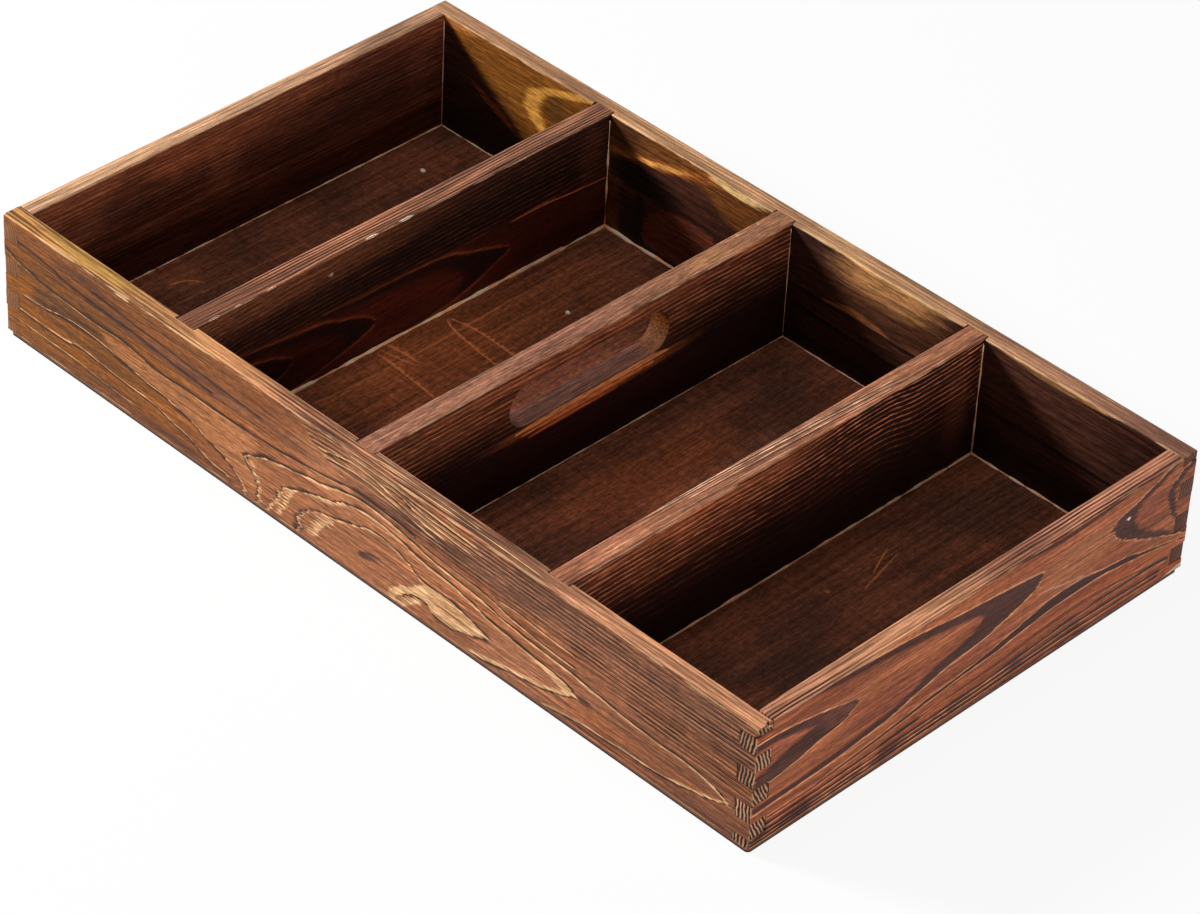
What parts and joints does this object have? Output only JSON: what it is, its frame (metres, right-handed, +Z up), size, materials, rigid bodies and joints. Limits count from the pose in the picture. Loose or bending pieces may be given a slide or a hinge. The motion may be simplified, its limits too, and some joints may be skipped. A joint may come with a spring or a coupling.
{
  "type": "drawer organizer tray",
  "caption": "Finger-jointed burnt-wood tray with fixed dividers let into grooves, a hand slot through the middle divider and a thin plywood bottom, for sorting cutlery or tools in a drawer.",
  "frame": {"origin": "middle of the underside of the bottom panel", "axes": "+X along the tray's length, +Y across it from the front board to the back board, +Z up"},
  "size_m": [0.45, 0.26, 0.064],
  "materials": {
    "long_board_wood": "burnt and stained softwood with a satin sheen",
    "end_board_wood": "burnt and stained softwood with a satin sheen",
    "divider_wood": "dark burnt softwood with a satin sheen",
    "panel_plywood": "dark stained plywood",
    "brad_steel": "plain steel wire"
  },
  "bodies": {
    "root": {"front_board": "long_board_wood", "back_board": "long_board_wood", "left_end": "end_board_wood", "right_end": "end_board_wood", "left_divider": "divider_wood", "centre_divider": "divider_wood", "right_divider": "divider_wood", "bottom_panel": "panel_plywood", "panel_brads": "brad_steel"}
  },
  "joints": []
}
